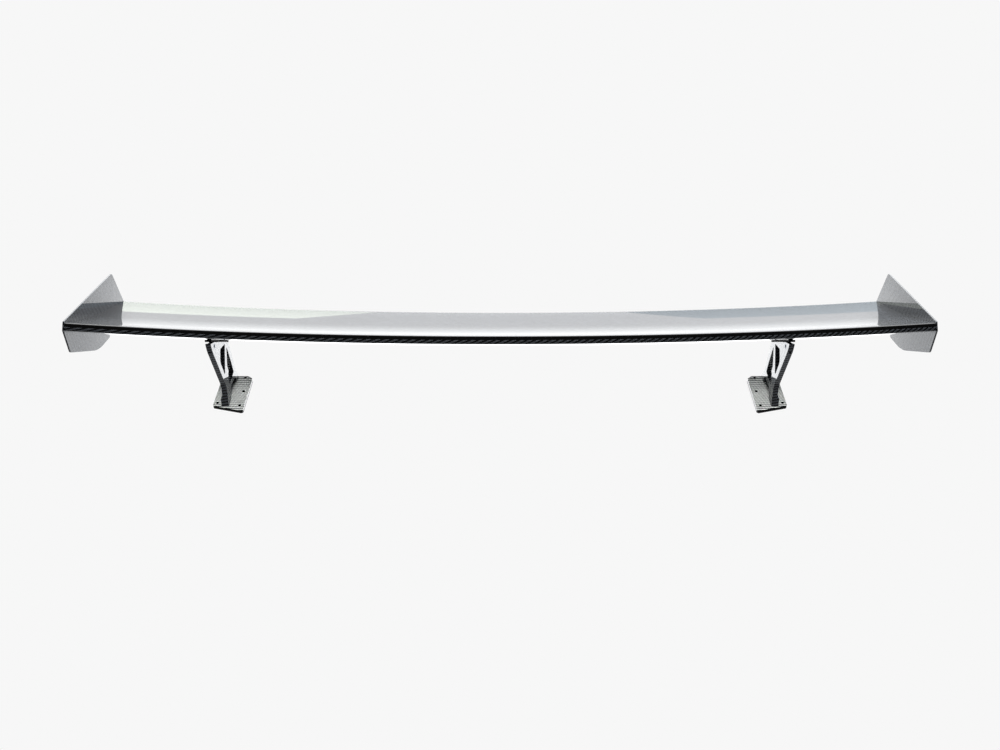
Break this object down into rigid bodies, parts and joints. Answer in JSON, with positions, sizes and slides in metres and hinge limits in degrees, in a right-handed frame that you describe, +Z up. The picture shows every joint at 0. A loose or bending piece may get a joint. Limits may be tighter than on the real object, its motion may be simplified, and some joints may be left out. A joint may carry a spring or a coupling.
{
  "type": "racing rear wing",
  "caption": "Carbon rear wing, bowed in plan, with flat end plates, on two truss uprights with sloping base plates and a tilt-adjustable saddle.",
  "frame": {"origin": "midway between the two feet, on the sloping deck surface that they are bolted to", "axes": "+X across the car to its right, +Y forward, +Z up; the deck rises forward by 17 degrees"},
  "size_m": [1.6052, 0.3722, 0.2171],
  "materials": {
    "carbon_gloss": "clear-coated carbon twill",
    "carbon_core": "bare carbon laminate over foam",
    "anodised_black": "black anodised",
    "aluminium_plain": "as machined",
    "steel_black": "black oxide",
    "steel_washer": "black zinc",
    "rubber_black": "matte"
  },
  "bodies": {
    "stand": {"adjuster_insert_left": "aluminium_plain", "adjuster_insert_right": "aluminium_plain", "adjuster_screw_left": "steel_black", "adjuster_screw_right": "steel_black", "adjuster_washer_left": "steel_washer", "adjuster_washer_right": "steel_washer", "base_gasket_left": "rubber_black", "base_gasket_right": "rubber_black", "base_plate_left": "carbon_gloss", "base_plate_right": "carbon_gloss", "foot_inserts_left": "aluminium_plain", "foot_inserts_right": "aluminium_plain", "foot_screws_left": "steel_black", "foot_screws_right": "steel_black", "pivot_bolt_left": "steel_black", "pivot_bolt_right": "steel_black", "pivot_insert_left": "aluminium_plain", "pivot_insert_right": "aluminium_plain", "pivot_washer_left": "steel_washer", "pivot_washer_right": "steel_washer", "upright_left": "carbon_gloss", "upright_right": "carbon_gloss"},
    "aerofoil": {"end_plate_inserts_left": "aluminium_plain", "end_plate_inserts_right": "aluminium_plain", "end_plate_left": "carbon_gloss", "end_plate_right": "carbon_gloss", "end_plate_screws_left": "steel_black", "end_plate_screws_right": "steel_black", "front_hardpoint_left": "aluminium_plain", "front_hardpoint_right": "aluminium_plain", "front_spar": "carbon_core", "mount_rib_inner_left": "carbon_core", "mount_rib_inner_right": "carbon_core", "mount_rib_outer_left": "carbon_core", "mount_rib_outer_right": "carbon_core", "rear_hardpoint_left": "aluminium_plain", "rear_hardpoint_right": "aluminium_plain", "rear_spar": "carbon_core", "saddle_bolts_left": "steel_black", "saddle_bolts_right": "steel_black", "saddle_bracket_left": "anodised_black", "saddle_bracket_right": "anodised_black", "saddle_front_spacer_left": "anodised_black", "saddle_front_spacer_right": "anodised_black", "saddle_rear_spacer_left": "anodised_black", "saddle_rear_spacer_right": "anodised_black", "tip_rib_left": "carbon_core", "tip_rib_right": "carbon_core", "trailing_edge_filler": "carbon_core", "wing_lower_skin": "carbon_gloss", "wing_upper_skin": "carbon_gloss"}
  },
  "joints": [
    {"name": "attack_angle", "type": "hinge", "parent": "stand", "child": "aerofoil", "pos_m": [0, -0.0932, 0.1356], "axis": [1, 0, 0], "range_deg": [0, 8]}
  ]
}
